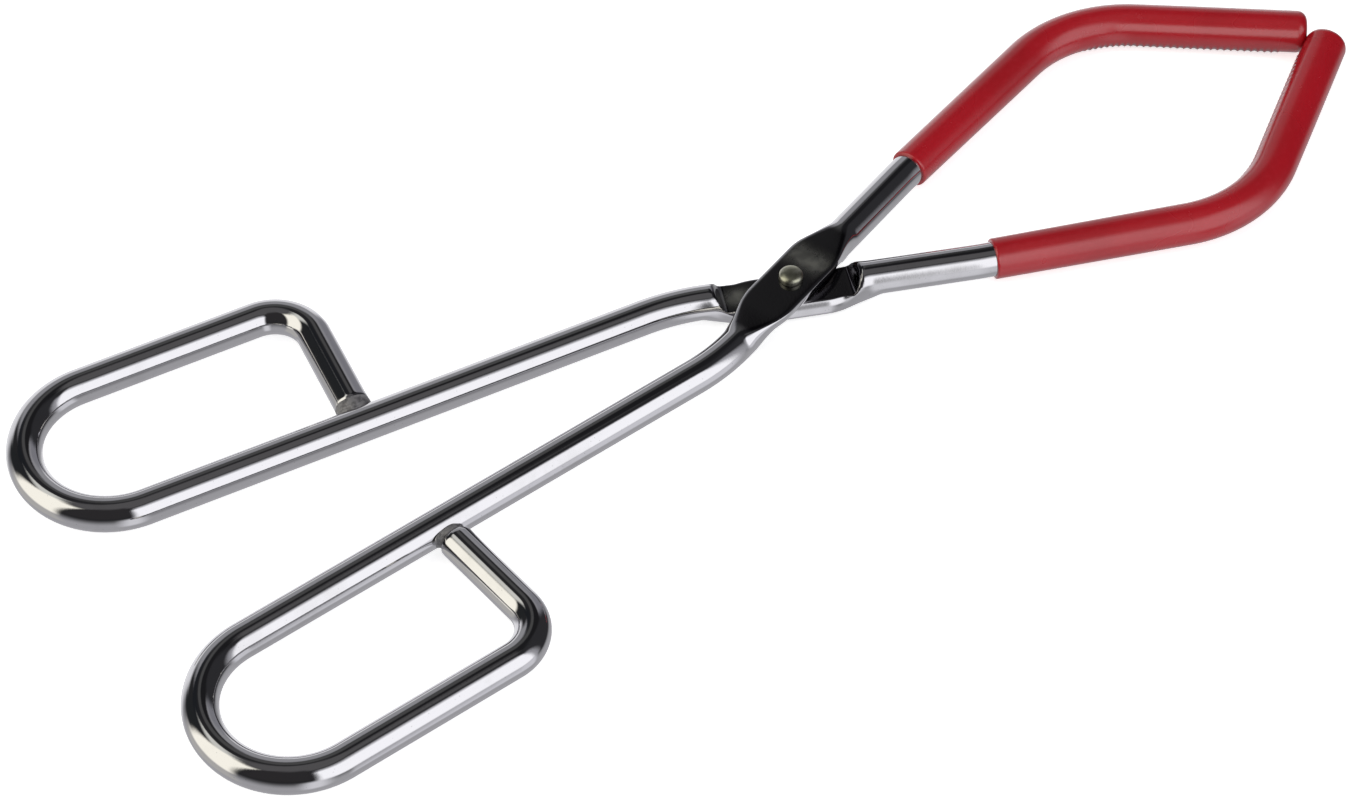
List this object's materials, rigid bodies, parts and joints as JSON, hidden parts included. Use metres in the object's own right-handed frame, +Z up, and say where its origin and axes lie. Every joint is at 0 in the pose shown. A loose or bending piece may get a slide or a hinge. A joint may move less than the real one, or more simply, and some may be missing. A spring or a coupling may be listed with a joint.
{
  "type": "jar lifter",
  "caption": "Scissor tongs of bent chrome rod with closed finger loops, a riveted crossing and soft red ribbed sleeves on diamond-shaped jaws.",
  "frame": {"origin": "middle of the tongs' overall plan, on the level of the underside that rests on a table", "axes": "+X from the finger loops to the jaws, +Y to the side of the lower arm's finger loop, +Z up along the rivet"},
  "size_m": [0.2552, 0.0996, 0.0086],
  "materials": {
    "chrome_rod": "bright chrome plate, mirror polished",
    "red_vinyl": "soft red vinyl, glossy skin",
    "weld_metal": "dark unplated weld, matte and lumpy",
    "rivet_metal": "nickel-grey rivet head, half bright"
  },
  "bodies": {
    "lower_arm": {"lower_rod": "chrome_rod", "lower_jaw_sleeve": "red_vinyl", "lower_loop_weld": "weld_metal", "rivet": "rivet_metal"},
    "upper_arm": {"upper_rod": "chrome_rod", "upper_jaw_sleeve": "red_vinyl", "upper_loop_weld": "weld_metal"}
  },
  "joints": [
    {"name": "rivet_pivot", "type": "hinge", "parent": "lower_arm", "child": "upper_arm", "pos_m": [0.00766, 0, 0.0039], "axis": [0, 0, 1], "range_deg": [0, 90]}
  ]
}
